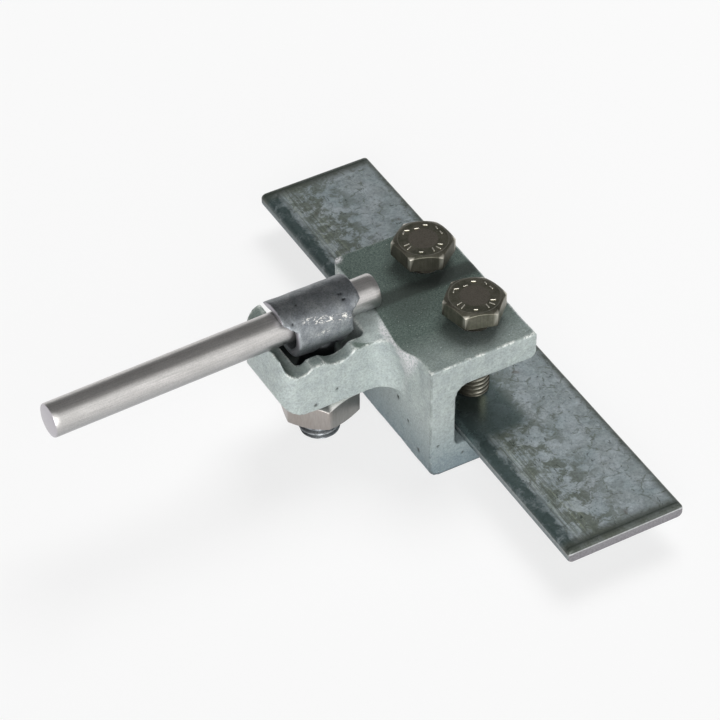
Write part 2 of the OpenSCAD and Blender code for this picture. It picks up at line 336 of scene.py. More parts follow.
def barMetalMaterial():
    facts = barMetal
    material, tree, shader = newMaterial("barMetal")
    point = objectPoint(tree)
    drawn = noiseAt(tree, objectPoint(tree, facts["drawnStretch"]), facts["drawnScale"], 5, 0.6)
    cloud = noiseAt(tree, point, facts["cloudScale"], 5, 0.6)
    fine = noiseAt(tree, point, facts["fineScale"], 4, 0.65)
    base = mixColour(tree, ramp(tree, drawn, [(0.35, 0.0), (0.7, 1.0)]), facts["silver"], facts["dull"])
    base = mixColour(tree, ramp(tree, cloud, [(0.45, 0.0), (0.7, 0.5)]), base, facts["dull"])
    # painted shade on the underside
    base = painted(tree, base, "underShade", facts["under"])
    base = shaded(tree, base, ramp(tree, fine, [(0.3, 0.86), (0.5, 1.0), (0.72, 1.12)]))
    base = painted(tree, base, "cutFace", facts["cut"])
    rough = ramp(tree, fine, [(0.3, 0.38), (0.7, 0.28)])
    finishShader(tree, shader, facts, base, rough, calc(tree, "ADD", drawn, fine))
    return material


stripZinc = {
    "lavender": (0.4, 0.446, 0.47), "blue": (0.3, 0.355, 0.373), "olive": (0.125, 0.145, 0.12),
    "teal": (0.04, 0.063, 0.061), "border": (0.075, 0.085, 0.07), "line": (0.03, 0.038, 0.033),
    "streak": (0.36, 0.4, 0.29), "rust": (0.12, 0.1, 0.085), "edge": (0.66, 0.68, 0.68),
    "side": (0.17, 0.205, 0.22), "cut": (0.24, 0.232, 0.247), "shade": (0.1, 0.14, 0.14),
    "metallic": 0.35, "bumpDepth": 0.03, "bumpStrength": 0.5, "jawShine": 0.2,
    "cloudScale": 0.13, "islandScale": 0.24, "fineScale": 1.9, "palerScale": 0.5, "patchScale": 0.3,
    "streakScale": 1.1, "streakStretch": (1.6, 0.09, 1), "dashScale": 0.6, "dashStretch": (1.3, 0.7, 1),
    "crackScale": 0.2, "gapScale": 0.7, "rustScale": 0.23,
    "warpScale": 0.35, "crackWarpScale": 0.4, "warp": 3.0, "borderWander": 4.5,    # the last two in mm
    # the marks of the edges and of what lies near, with the painted shadow under the jaw and the painted
    # reflection of the front screw, from the lowest to the topmost
    "marksAndLight": [("sideFace", "side"), ("cutFace", "cut"), ("underJaw", "shade"), ("mirrorDark", "line"),
              ("mirrorBright", "streak"), ("edgeLine", "edge")],
}


def edgeBand(tree, reach, wander, stops):
    # a ragged band along one edge; reach names the distance from it, and the stops are in centimetres
    far = calc(tree, "ADD", attribute(tree, reach), wander)
    return ramp(tree, calc(tree, "DIVIDE", far, 10.0), stops)


def stripZincMaterial():
    facts = stripZinc
    material, tree, shader = newMaterial("stripZinc")
    point = objectPoint(tree)
    loose = warped(tree, point, facts["warpScale"], facts["warp"])
    cloud = noiseAt(tree, point, facts["cloudScale"], 5, 0.6, 0.5)
    islands = noiseAt(tree, loose, facts["islandScale"], 6, 0.68, 0.4)
    fine = noiseAt(tree, point, facts["fineScale"], 4, 0.65)
    clear = ramp(tree, cloud, [(0.35, 0.0), (0.65, 1.0)])
    base = mixColour(tree, clear, facts["lavender"], facts["blue"])
    paler = noiseAt(tree, loose, facts["palerScale"], 5, 0.7)
    base = shaded(tree, base, ramp(tree, paler, [(0.36, 0.86), (0.62, 1.1)]))

    # olive stain between the islands, and streaks along the strip near its left side
    stain = ramp(tree, islands, [(0.45, 0.0), (0.54, 0.9)])
    base = painted(tree, base, "islandShare", facts["olive"], stain)
    streaks = noiseAt(tree, objectPoint(tree, facts["streakStretch"]), facts["streakScale"], 4, 0.7, 0.3)
    dark = ramp(tree, streaks, [(0.38, 0.9), (0.54, 0.0)])
    base = painted(tree, base, "streakShare", facts["olive"], dark)
    light = ramp(tree, streaks, [(0.54, 0.0), (0.66, 0.6)])
    base = painted(tree, base, "streakShare", facts["streak"], light)

    # fine cracks, short dashes and a little rust
    cracked = warped(tree, point, facts["crackWarpScale"], facts["warp"])
    cells = cellsAt(tree, cracked, facts["crackScale"], "DISTANCE_TO_EDGE")
    cracks = ramp(tree, cells, [(0.015, 1.0), (0.06, 0.0)])
    gaps = ramp(tree, noiseAt(tree, point, facts["gapScale"], 3, 0.6), [(0.45, 0.0), (0.58, 0.7)])
    base = mixColour(tree, calc(tree, "MULTIPLY", cracks, gaps), base, facts["olive"])
    dashes = noiseAt(tree, objectPoint(tree, facts["dashStretch"]), facts["dashScale"], 4, 0.65, 1.2)
    base = mixColour(tree, ramp(tree, dashes, [(0.62, 0.0), (0.68, 0.8)]), base, facts["line"])
    rust = noiseAt(tree, point, facts["rustScale"], 3, 0.5)
    base = mixColour(tree, ramp(tree, rust, [(0.68, 0.0), (0.78, 0.7)]), base, facts["rust"])

    # ragged dark borders, then the edge marks, the painted shadow under the jaw and the painted reflection
    wander = calc(tree, "MULTIPLY", calc(tree, "SUBTRACT", islands, 0.5), facts["borderWander"])
    teal = edgeBand(tree, "leftReach", wander, [(0.26, 0.94), (0.38, 0.0)])
    patchy = ramp(tree, noiseAt(tree, loose, facts["patchScale"], 5, 0.7), [(0.34, 0.6), (0.5, 1.0)])
    base = mixColour(tree, calc(tree, "MULTIPLY", teal, patchy), base, facts["teal"])
    rightBand = edgeBand(tree, "rightReach", wander, [(0.08, 0.9), (0.24, 0.0)])
    endBand = edgeBand(tree, "endReach", wander, [(0.2, 0.85), (0.4, 0.0)])
    base = mixColour(tree, calc(tree, "MAXIMUM", rightBand, endBand), base, facts["border"])
    base = painted(tree, base, "ridgeLine", facts["line"], ramp(tree, fine, [(0.35, 0.4), (0.55, 1.0)]))
    for name, colour in facts["marksAndLight"]:
        base = painted(tree, base, name, facts[colour])
    base = shaded(tree, base, ramp(tree, fine, [(0.3, 0.74), (0.5, 1.0), (0.7, 1.16)]))
    shine = calc(tree, "MULTIPLY", attribute(tree, "underJaw"), facts["jawShine"])
    dull = ramp(tree, islands, [(0.35, 0.36), (0.65, 0.5)])
    rough = calc(tree, "SUBTRACT", dull, shine)
    finishShader(tree, shader, facts, base, rough, calc(tree, "ADD", fine, islands))
    return material


# Mesh helpers

def finishMesh(name, mesh, material, sharpAngle=None):
    # smooth faces, with sharp edges from this many degrees up
    obj = bpy.data.objects.new(name, mesh)
    bpy.context.collection.objects.link(obj)
    mesh.materials.clear()
    mesh.materials.append(material)
    for face in mesh.polygons:
        face.use_smooth = True
    if sharpAngle is not None:
        mesh.set_sharp_from_angle(angle=math.radians(sharpAngle))
    return obj


def openForm(mesh):
    form = bmesh.new()
    form.from_mesh(mesh)
    return form


def closeForm(form, mesh):
    form.to_mesh(mesh)
    form.free()
    return mesh


def joinMeshes(name, meshes):
    form = bmesh.new()
    for mesh in meshes:
        form.from_mesh(mesh)
    return closeForm(form, bpy.data.meshes.new(name))


def nodeCopy(name, merge=0.002):
    # the CAD node's mesh with its loose triangles merged
    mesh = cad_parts[name].data.copy()
    form = openForm(mesh)
    bmesh.ops.remove_doubles(form, verts=form.verts, dist=merge * mm)
    return closeForm(form, mesh)


def evaluatedCopy(obj, name):
    # plain mesh of an object with its modifiers; the helper object goes
    graph = bpy.context.evaluated_depsgraph_get()
    mesh = bpy.data.meshes.new_from_object(obj.evaluated_get(graph))
    mesh.name = name
    bpy.data.objects.remove(obj)
    return mesh


def remeshed(mesh, name, voxel, rounds):
    # even quads with rounded edges, as a casting has
    obj = bpy.data.objects.new(name, mesh)
    bpy.context.collection.objects.link(obj)
    remesh = obj.modifiers.new("remesh", "REMESH")
    remesh.mode = "VOXEL"
    remesh.voxel_size = voxel * mm
    smooth = obj.modifiers.new("smooth", "SMOOTH")
    smooth.factor = 0.5
    smooth.iterations = rounds
    return evaluatedCopy(obj, name)


def setInPlace(mesh, place, degrees):
    # turns a mesh drawn in millimetres about Z and takes it to its place in metres
    turn = Matrix.Rotation(math.radians(degrees), 4, "Z")
    mesh.transform(Matrix.Translation(place) @ Matrix.Scale(mm, 4) @ turn)


def fillAttributes(mesh, marks):
    # marks has a dictionary of named values for each vertex
    for name in marks[0]:
        layer = mesh.attributes.new(name, "FLOAT", "POINT")
        layer.data.foreach_set("value", [mark[name] for mark in marks])


def curvature(mesh):
    # how far each vertex stands out from its neighbours, in millimetres; negative in hollows
    form = openForm(mesh)
    form.normal_update()
    bend = [0.0] * len(form.verts)
    for vert in form.verts:
        middle = Vector()
        for edge in vert.link_edges:
            middle += edge.other_vert(vert).co
        middle /= max(1, len(vert.link_edges))
        bend[vert.index] = (vert.co - middle).dot(vert.normal) / mm
    for step in range(2):
        wider = list(bend)
        for vert in form.verts:
            near = [bend[edge.other_vert(vert).index] for edge in vert.link_edges]
            wider[vert.index] = (bend[vert.index] + sum(near)) / (1 + len(near))
        bend = wider
    form.free()
    return bend


def clampTo(value, low=0.0, high=1.0):
    return max(low, min(high, value))


def slide(value, start, end):
    # 0 at start and 1 at end, with an even change between
    return clampTo((value - start) / (end - start))


def vertexLists(mesh):
    # places in millimetres and normals, read once
    places = [vert.co / mm for vert in mesh.vertices]
    return places, [vert.normal.copy() for vert in mesh.vertices]


def placeVertices(mesh, places):
    mesh.vertices.foreach_set("co", [value * mm for place in places for value in place])
    mesh.update()


def nickShare(place, nicks):
    # 1 in the middle of a nick, 0 outside them all
    deepest = 0.0
    for spot, reach in nicks:
        far = (place - Vector(spot)).length
        if far < reach:
            deepest = max(deepest, 1 - far / reach)
    return deepest


# Cast body

castBody = {
    # lengths in mm; corners, middles and points are (x, y), other pairs run from no effect to full effect
    "voxel": 0.37, "rounds": 3,
    "sandDepth": 0.05, "sandSize": 0.9, "waveDepth": 0.1, "waveSize": 6.0, "flatFoot": (0.0, 0.5),
    "wearBend": 0.013, "cavityBend": 0.02,               # see curvature
    "leftX": -13.7, "topZ": 32.0, "screwX": 4.1, "screwY": 11.3,
    "rearCorner": ((-11.3, 20.2), 2.4),                  # the plate's rear left corner: middle and radius
    "endCorner": (-37.7, -1.2), "endLean": 1.2,          # the arm's front corner; its lean at the top
    "leanZ": (22.0, 31.0), "leanY": (7.0, 2.0), "leanReach": (1.5, 4.0),
    "swell": 2.0, "swellY": (1.6, -11.4, -17.4),         # where the spread starts, is widest and ends
    "swellZ": (21.0, 31.0), "swellInner": (-8.0, -13.0), "swellOuter": (-18.5, -14.2),
    "rubWidth": 1.7, "rubZ": 28.0, "rubRear": (0.0, -3.0), "rubFront": (-18.5, -15.5),
    "filletY": -11.5, "filletZ": (22.0, 30.0), "filletFoot": (12.0, 22.0), "filletX": 2.6,
    "frontWear": (-18.0, -21.5), "boreWear": (7.0, 7.5), "armWear": 0.85, "backWear": 0.08,
    "screwShade": (10.5, 6.5), "plateMiddle": (-6.0, 1.0), "middleShade": (9.0, 3.0),
    "stopCorner": (-33.0, 10.0), "stopZ": (27.5, 30.0), "rimX": -14.2, "rimZ": 27.0,
    "endRim": (-37.5, -39.0), "facetPoint": (-22.9, -2.6), "facetSlope": 0.73,
    "facetX": (-24.0, -22.5), "rimBack": (8.0, 10.0), "rimLight": (-21.0, -19.5),
    "barRadius": 4.0, "barZ": 36.05, "barY": 4.2, "barGap": 1.1, "barShadeTop": 34.0,
    "pocket": ((-39.5, -3.4), (-20.5, 12.5)), "pocketTop": (27.5, 23.5), "pocketFloor": (17.5, 18.5),
    "patinaX": (-14.0, -13.5), "patinaZ": (31.2, 31.6), "overRear": (18.0, 20.0),
    "nickDepth": 0.25,
    # dark dents: place, size
    "nicks": [((-13.7, -17.4, 4.6), 0.8), ((-38.4, -4.4, 17.9), 0.9), ((-36.6, -4.6, 17.2), 0.6),
              ((-33.6, -5.4, 18.2), 0.7), ((-13.7, -8.2, 13.7), 0.7), ((-13.7, -12.6, 9.8), 0.6),
              ((-28.0, -5.6, 20.6), 0.5), ((-5.0, -22.6, 4.0), 0.5), ((-11.6, -22.6, 9.0), 0.5)],
}


def rootSwell(place):
    # how far the top's left edge spreads over the arm's root; it fades below the top
    size = castBody
    start, widest, end = size["swellY"]
    if place.y > widest:
        along = slide(place.y, start, widest)
    else:
        along = math.cos(slide(place.y, widest, end) * math.pi / 2) ** 2
    rise = slide(place.z, *size["swellZ"]) ** 1.5
    across = slide(place.x, *size["swellInner"]) * slide(place.x, *size["swellOuter"])
    return size["swell"] * along * rise * across


def endLean(place):
    # the arm's end leans in towards its top, most at its front corner
    size = castBody
    x, y = size["endCorner"]
    away = Vector((place.x - x, min(place.y - y, 0.0), 0.0))
    if away.x >= 0:
        return Vector()
    far = away.length
    share = slide(place.z, *size["leanZ"]) * slide(place.y, *size["leanY"]) * slide(far, *size["leanReach"])
    return away * (size["endLean"] * share * away.x / far / far)


def roundedCorner(place):
    # pulls the plate's rear left corner in to an arc
    (x, y), radius = castBody["rearCorner"]
    away = Vector((place.x - x, place.y - y, 0.0))
    if away.x > 0 or away.y < 0 or away.length <= radius:
        return Vector()
    return away.normalized() * radius - away


def castSpot(place, normal, nick):
    # where a point of the casting goes, by its sandy skin, its nicks and the three functions above
    size = castBody
    sand = noise.noise(place / size["sandSize"]) * size["sandDepth"]
    wave = noise.noise(place / size["waveSize"]) * size["waveDepth"]
    skin = (sand + wave) * slide(place.z, *size["flatFoot"])
    spot = place + normal * (skin - size["nickDepth"] * nick)
    spot.x -= rootSwell(place)
    spot += roundedCorner(place) + endLean(place)
    return spot


def rubbedShare(place, normal, ragged):
    # pale streak left of the patina's edge and down the front fillet
    size = castBody
    left = size["leftX"] - place.x
    if place.z > size["rubZ"] and normal.z > 0.2:
        along = slide(place.y, *size["rubRear"]) * slide(place.y, *size["rubFront"])
        return slide(size["rubWidth"] + ragged - left, 0.0, 0.9) * along
    high = slide(place.z, *size["filletZ"])
    middle = size["filletY"] - 1.6 * high
    width = 1.6 + 2.0 * high + 1.2 * ragged
    near = slide(width - abs(place.y - middle), 0.0, 1.8)
    onFillet = slide(place.z, *size["filletFoot"]) * slide(size["filletX"] - abs(left), 0.0, 1.2)
    return (0.45 + 0.55 * high) * near * onFillet


def screwGap(place):
    # from the nearer screw's axis
    return math.hypot(place.x - castBody["screwX"], abs(place.y) - castBody["screwY"])


def wearSpread(place):
    # bright edges on the arm and at the front of the plate, hardly any round the back and the bores
    size = castBody
    if place.x < size["leftX"] - 0.5:
        return size["armWear"]
    atFront = max(slide(place.y, *size["frontWear"]), size["backWear"])
    return atFront * slide(screwGap(place), *size["boreWear"])


def plateShade(place):
    # darker round the screws and in the middle of the plate
    size = castBody
    x, y = size["plateMiddle"]
    fromMiddle = math.hypot(place.x - x, place.y - y)
    atScrew = 0.3 * slide(screwGap(place), *size["screwShade"])
    return max(atScrew, 0.42 * slide(fromMiddle, *size["middleShade"]))


def rimShare(place, normal):
    # darker green on the arm's upward faces, darkest on the slanted facet before the body
    size = castBody
    stopX, stopY = size["stopCorner"]
    if place.x < stopX and place.y > stopY and normal.z > 0.05:
        return 0.7 * slide(place.z, *size["stopZ"])
    if normal.z < 0.6 or place.x > size["rimX"] or place.z < size["rimZ"]:
        return 0.0
    flat = (0.55 + 0.25 * slide(place.x, *size["endRim"])) * slide(normal.z, 0.62, 0.85)
    x, y = size["facetPoint"]
    facetY = y - size["facetSlope"] * (place.x - x)
    facet = slide(facetY - place.y, -0.3, 0.3) * slide(place.x, *size["facetX"])
    behind = 0.5 * slide(place.y, *size["rimBack"])
    light = slide(place.x, *size["rimLight"]) * (1 - facet)
    return clampTo(max(flat, facet, behind) * (1 - 0.85 * light))


def barContactShade(place, normal):
    # painted contact shadow under the round bar
    size = castBody
    if normal.z < 0.3 or place.z > size["barShadeTop"]:
        return 0.0
    gap = math.hypot(place.y - size["barY"], place.z - size["barZ"]) - size["barRadius"]
    return 0.85 * slide(size["barGap"] - gap, 0.0, 0.8)


def pocketShade(place):
    # painted shade in the arm's hollow, which gets little light
    size = castBody
    (lowX, lowY), (highX, highY) = size["pocket"]
    within = slide(place.x, lowX, lowX + 0.8) * slide(highX - place.x, 0.0, 0.8)
    within *= slide(place.y, lowY, lowY + 0.8) * slide(highY - place.y, 0.0, 0.8)
    return 0.92 * within * slide(place.z, *size["pocketTop"]) * slide(place.z, *size["pocketFloor"])


def castMarks(place, normal, bend, nick):
    # how worn, dirty and stained a point of the casting is, and where shade is painted on it
    size = castBody
    ragged = 0.9 * noise.noise(place / 2.5) + 0.5 * noise.noise(place / 0.8)
    edge = slide(bend, size["wearBend"] * 0.7, size["wearBend"] * 1.6)
    upper = slide(place.z, 26.0, 29.0) * slide(abs(normal.z), 0.15, 0.35)
    overRear = slide(place.y, *size["overRear"])
    lowZ, highZ = size["patinaZ"]
    onTop = slide(normal.z, 0.9 - 0.6 * overRear, 0.985 - 0.35 * overRear)
    onTop *= slide(place.z, lowZ - overRear, highZ - overRear) * slide(place.x, *size["patinaX"])
    deep = 0.6 * slide(-bend, size["cavityBend"] * 0.6, size["cavityBend"] * 2)
    upright = 1 - slide(abs(normal.z), 0.1, 0.3)
    frontLeft = slide(-place.y, 21.0, 22.0) * slide(1.2 - abs(place.x - size["leftX"]), 0.0, 0.6)
    lineShade = 0.42 * edge * upright * frontLeft * slide(ragged, -0.3, 0.3)
    lowShade = 0.5 * edge * (1 - slide(place.z, 2.0, 3.0))
    # painted shade: the contact line under the bar, the arm's hollow, round the screws and in the plate's
    # middle
    paintedShadows = max(barContactShade(place, normal), pocketShade(place), plateShade(place) * onTop)
    cornerGap = (place - Vector((size["leftX"] + 0.8, 21.8, size["topZ"]))).length
    corner = slide(1.8 + 0.6 * ragged - cornerGap, 0.0, 1.0)
    return {
        "wearAndHighlight": edge * upper * wearSpread(place) * slide(ragged, -0.2, 0.25),
        "grimeAndShade": clampTo(max(deep, lineShade, lowShade, nick * 1.6, paintedShadows)),
        "topPatina": onTop * (1 - 0.35 * slide(-place.y + ragged, 10.0, 19.0)),
        "rubbed": max(corner, rubbedShare(place, normal, ragged) * (1 - onTop)),
        "rimShade": rimShare(place, normal),
    }


def makeCastBody(material):
    size = castBody
    mesh = remeshed(nodeCopy("clamp_body"), "castBody", size["voxel"], size["rounds"])
    places, normals = vertexLists(mesh)
    moved, marks = [], []
    for place, normal, bend in zip(places, normals, curvature(mesh)):
        nick = nickShare(place, size["nicks"])
        moved.append(castSpot(place, normal, nick))
        marks.append(castMarks(place, normal, bend, nick))
    placeVertices(mesh, moved)
    fillAttributes(mesh, marks)
    body = finishMesh("castBody", mesh, material)
    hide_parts("clamp_body")
    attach(body, "clamp")
    return body


# Hexagons

def onCircle(angle):
    return Vector((math.cos(angle), math.sin(angle)))


def hexagonOutline(acrossFlats, cornerRound, perCorner=5, perSide=7):
    # points round a hexagon with softened corners, in order, first corner on +X
    apothem = acrossFlats / 2
    cornerAt = apothem / math.cos(math.pi / 6)
    inset = cornerAt - cornerRound / math.cos(math.pi / 6)
    points = []
    for corner in range(6):
        middle = math.radians(60 * corner)
        centre = onCircle(middle) * inset
        for step in range(perCorner):
            turn = middle + math.radians(-30 + 60 * step / (perCorner - 1))
            points.append(centre + onCircle(turn) * cornerRound)
        nextCentre = onCircle(math.radians(60 * (corner + 1))) * inset
        turn = middle + math.radians(30)
        start = centre + onCircle(turn) * cornerRound
        end = nextCentre + onCircle(turn) * cornerRound
        for step in range(1, perSide + 1):
            points.append(start.lerp(end, step / (perSide + 1)))
    return points


def ringFaces(form, first, second):
    count = len(first)
    for i in range(count):
        form.faces.new((first[i], first[(i + 1) % count], second[(i + 1) % count], second[i]))


def chamferHeight(radius, faceRadius, height):
    return height - max(0.0, radius - faceRadius) * math.tan(math.radians(30))


def hexagonRings(outline, size, bothEnds):
    # rings from the underside's inner circle, up the sides, to the top's inner circle
    height, faceRadius, soft = size["height"], size["faceRadius"], size["edgeRound"]

    def side(lift, inset):
        # lift is from the lower edge, or down from the upper one where it is negative
        ring = []
        for p in outline:
            top = chamferHeight(p.length, faceRadius, height)
            foot = height - top if bothEnds else 0.0
            q = p.normalized() * (p.length - inset)
            ring.append(Vector((q.x, q.y, foot + lift if lift >= 0 else top + lift)))
        return ring

    def chamfer(share, atTop):
        ring = []
        for p in outline:
            wide = p.length - soft
            r = faceRadius + (wide - faceRadius) * share if p.length > faceRadius else wide
            z = chamferHeight(r, faceRadius, height)
            if not atTop:
                z = height - z if bothEnds else 0.0
            q = p.normalized() * r
            ring.append(Vector((q.x, q.y, z)))
        return ring

    def flat(radius, z):
        ways = [p.normalized() for p in outline]
        return [Vector((way.x * radius, way.y * radius, z)) for way in ways]

    inside = faceRadius - 0.12
    rings = [flat(size["innerRadius"], 0.0), flat(inside, 0.0)]
    rings += [chamfer(share, False) for share in (0.06, 0.5, 0.94)]
    rings += [side(soft * 0.3, soft * 0.3), side(soft, 0.0), side(-soft, 0.0), side(-soft * 0.3, soft * 0.3)]
    rings += [chamfer(share, True) for share in (0.94, 0.5, 0.06)]
    rings += [flat(radius, height) for radius in (inside, *size["faceRings"])]
    return rings


def hexagonMesh(form, size, bothEnds, hole):
    outline = hexagonOutline(size["acrossFlats"], size["cornerRound"])
    rows = [[form.verts.new(p) for p in ring] for ring in hexagonRings(outline, size, bothEnds)]
    for first, second in zip(rows, rows[1:]):
        ringFaces(form, first, second)
    if hole:
        ringFaces(form, rows[-1], rows[0])
        return
    form.faces.new(list(reversed(rows[0])))
    form.faces.new(rows[-1])


# Threads by Geometry Nodes

def threadTree():
    tree = bpy.data.node_groups.new("threadedBar", "GeometryNodeTree")
    face = tree.interface
    numbers = (("Radius", "Float", 0.004), ("Depth", "Float", 0.0006), ("Pitch", "Float", 0.00125),
               ("Length", "Float", 0.024), ("Sides", "Int", 48), ("Rows", "Int", 160))
    for name, kind, value in numbers:
        socket = face.new_socket(name=name, in_out="INPUT", socket_type="NodeSocket" + kind)
        socket.default_value = value
    face.new_socket(name="Finish", in_out="INPUT", socket_type="NodeSocketMaterial")
    face.new_socket(name="Geometry", in_out="OUTPUT", socket_type="NodeSocketGeometry")
    nodes = tree.nodes
    given = nodes.new("NodeGroupInput").outputs
    result = nodes.new("NodeGroupOutput")
    bar = nodes.new("GeometryNodeMeshCylinder")
    bar.fill_type = "NGON"
    link(tree, given["Sides"], bar.inputs["Vertices"])
    link(tree, given["Rows"], bar.inputs["Side Segments"])
    link(tree, given["Radius"], bar.inputs["Radius"])
    link(tree, given["Length"], bar.inputs["Depth"])
    place = nodes.new("GeometryNodeInputPosition")
    split = nodes.new("ShaderNodeSeparateXYZ")
    link(tree, place.outputs[0], split.inputs[0])
    x, y, z = split.outputs
    turns = calc(tree, "DIVIDE", calc(tree, "ARCTAN2", y, x), 2 * math.pi)
    phase = calc(tree, "SUBTRACT", calc(tree, "DIVIDE", z, given["Pitch"]), turns)
    wave = calc(tree, "PINGPONG", phase, 0.5)                # 0 at the crest, 0.5 at the root
    groove = calc(tree, "SUBTRACT", calc(tree, "MULTIPLY", wave, 2.6), 0.15, True)
    half = calc(tree, "DIVIDE", given["Length"], 2)
    toEnd = calc(tree, "SUBTRACT", half, calc(tree, "ABSOLUTE", z))
    taper = calc(tree, "SUBTRACT", 1.0, calc(tree, "DIVIDE", toEnd, given["Depth"]), True)
    depth = calc(tree, "MULTIPLY", calc(tree, "MAXIMUM", groove, taper), given["Depth"])
    share = calc(tree, "DIVIDE", calc(tree, "SUBTRACT", given["Radius"], depth), given["Radius"])
    joined = nodes.new("ShaderNodeCombineXYZ")
    link(tree, calc(tree, "MULTIPLY", x, share), joined.inputs[0])
    link(tree, calc(tree, "MULTIPLY", y, share), joined.inputs[1])
    link(tree, z, joined.inputs[2])
    move = nodes.new("GeometryNodeSetPosition")
    link(tree, bar.outputs["Mesh"], move.inputs["Geometry"])
    link(tree, joined.outputs[0], move.inputs["Position"])
    real = nodes.new("GeometryNodeRealizeInstances")
    link(tree, move.outputs[0], real.inputs[0])
    finish = nodes.new("GeometryNodeSetMaterial")
    link(tree, real.outputs[0], finish.inputs["Geometry"])
    link(tree, given["Finish"], finish.inputs["Material"])
    link(tree, finish.outputs[0], result.inputs["Geometry"])
    return tree


def threadValues(size, length):
    # the tree's inputs for a piece; its dictionary is in millimetres and the length in metres
    return {"Radius": size["threadRadius"] * mm, "Depth": size["threadDepth"] * mm,
            "Pitch": size["pitch"] * mm, "Length": length, "Sides": size["sides"], "Rows": size["rows"]}


def threadedBar(tree, name, values, material, foot):
    # the bar stands upright on its foot
    helper = bpy.data.objects.new(name, bpy.data.meshes.new(name))
    bpy.context.collection.objects.link(helper)
    modifier = helper.modifiers.new("thread", "NODES")
    modifier.node_group = tree
    sockets = {item.name: item.identifier for item in tree.interface.items_tree if item.in_out == "INPUT"}
    for key, value in {**values, "Finish": material}.items():
        modifier[sockets[key]] = value
    mesh = evaluatedCopy(helper, name)
    mesh.transform(Matrix.Translation((0, 0, values["Length"] / 2)))
    mesh.transform(Matrix.Translation(foot))
    return mesh


def crestShare(place, axis, values):
    # 1 on a thread's crest, 0 at its root
    crest = values["Radius"]
    return slide(math.hypot(place.x - axis.x, place.y - axis.y), crest - values["Depth"], crest) ** 3


# Pressure screws

pressureScrew = {
    "acrossFlats": 13.0, "height": 4.2, "faceRadius": 6.05, "cornerRound": 0.16, "edgeRound": 0.08,
    "innerRadius": 4.6, "faceRings": (5.7, 4.6, 3.6, 3.3), "discRadius": 3.3, "topZ": 32.0,
    "threadRadius": 3.95, "threadDepth": 0.7, "pitch": 1.25, "sides": 48, "rows": 190,
    "sharpAngle": 14, "sidePaintedShade": {"front": 0.35, "rear": 0.7},
    "turns": {"front": 43, "rear": 36},                  # degrees about the screw's axis
    # streakWay is the way that the painted highlight on the threads faces
    "streakWay": (0.163, -0.987),                        # the way that the streak on the threads faces
    "strokeWidth": 0.34, "strokeRise": 0.18, "strokeShift": {"front": 0, "rear": -8},
    # plain raised strokes round the face: angle from +X, share of the radius, tilt and length
    "strokes": [(-170, 0.74, 0, 1.5), (-155, 0.78, 4, 1.5), (-118, 0.8, 90, 1.1), (-82, 0.75, -8, 1.4),
                (-66, 0.78, 6, 1.5), (-50, 0.72, 20, 1.3), (5, 0.76, 90, 1.2), (28, 0.8, 60, 1.0),
                (62, 0.78, 90, 1.2), (92, 0.62, 80, 1.2), (122, 0.76, 40, 1.3), (136, 0.8, 95, 1.0)],
}


def raisedStroke(form, middle, turn, length):
    # a small rounded bar standing on the head's face
    width, rise = pressureScrew["strokeWidth"], pressureScrew["strokeRise"]
    along = Vector((math.cos(turn), math.sin(turn), 0))
    across = Vector((-along.y, along.x, 0))
    rings = []
    for inset, z in ((0.0, -0.03), (0.0, rise * 0.6), (0.32, rise)):
        ring = []
        for step in range(12):
            a = 2 * math.pi * step / 12
            push = along * (length / 2 - width / 2) * (1 if math.cos(a) > 0 else -1)
            reach = width / 2 * (1 - inset)
            spot = push + along * math.cos(a) * reach + across * math.sin(a) * reach
            ring.append(form.verts.new(middle + spot + Vector((0, 0, z))))
        rings.append(ring)
    for first, second in zip(rings, rings[1:]):
        ringFaces(form, first, second)
    form.faces.new(rings[-1])
    form.faces.new(list(reversed(rings[0])))


def headWearAndLight(form, sidePaintedShade):
    # painted glints at the corners' tips and a thin one round the face's edge, bright strokes, painted shade
    # on the chamfer, the sides and the corner columns, and a smooth disc in the middle of the face
    size = pressureScrew
    wearAndGlint = form.verts.layers.float.new("wearAndHighlight")
    paintedShade = form.verts.layers.float.new("paintedShade")
    disc = form.verts.layers.float.new("faceDisc")
    corner = size["acrossFlats"] / 2 / math.cos(math.pi / 6)
    for vert in form.verts:
        radius = math.hypot(vert.co.x, vert.co.y)
        turn = math.degrees(math.atan2(vert.co.y, vert.co.x)) % 60
        toCorner = min(turn, 60 - turn)
        rim = chamferHeight(radius, size["faceRadius"], size["height"])
        onEdge = 1 - slide(abs(vert.co.z - rim), 0.0, 0.2)
        # painted glints at the tips of the corners
        tip = slide(radius, corner - 0.4, corner - 0.2) * onEdge * slide(6.0 - toCorner, 0.0, 4.0)
        circle = 0.3 * slide(0.1 - abs(radius - size["faceRadius"] + 0.12), 0.0, 0.05)
        raised = 1.0 if vert.co.z > size["height"] + size["strokeRise"] * 0.8 else 0.0
        vert[wearAndGlint] = clampTo(tip + raised + circle)
        bevel = slide(radius, size["faceRadius"] - 0.1, size["faceRadius"] + 0.05)
        onFace = slide(vert.co.z, rim - 0.05, rim - 0.01)
        # painted shade on the sides, darkest at the corner columns, and on the chamfer
        column = sidePaintedShade + (0.9 - sidePaintedShade) * slide(3.0 - toCorner, 0.0, 1.5)
        vert[paintedShade] = max(0.55 * bevel * onFace, column * (1 - onFace)) * (1 - tip)
        vert[disc] = 1 - slide(radius, size["discRadius"], size["discRadius"] + 0.3)


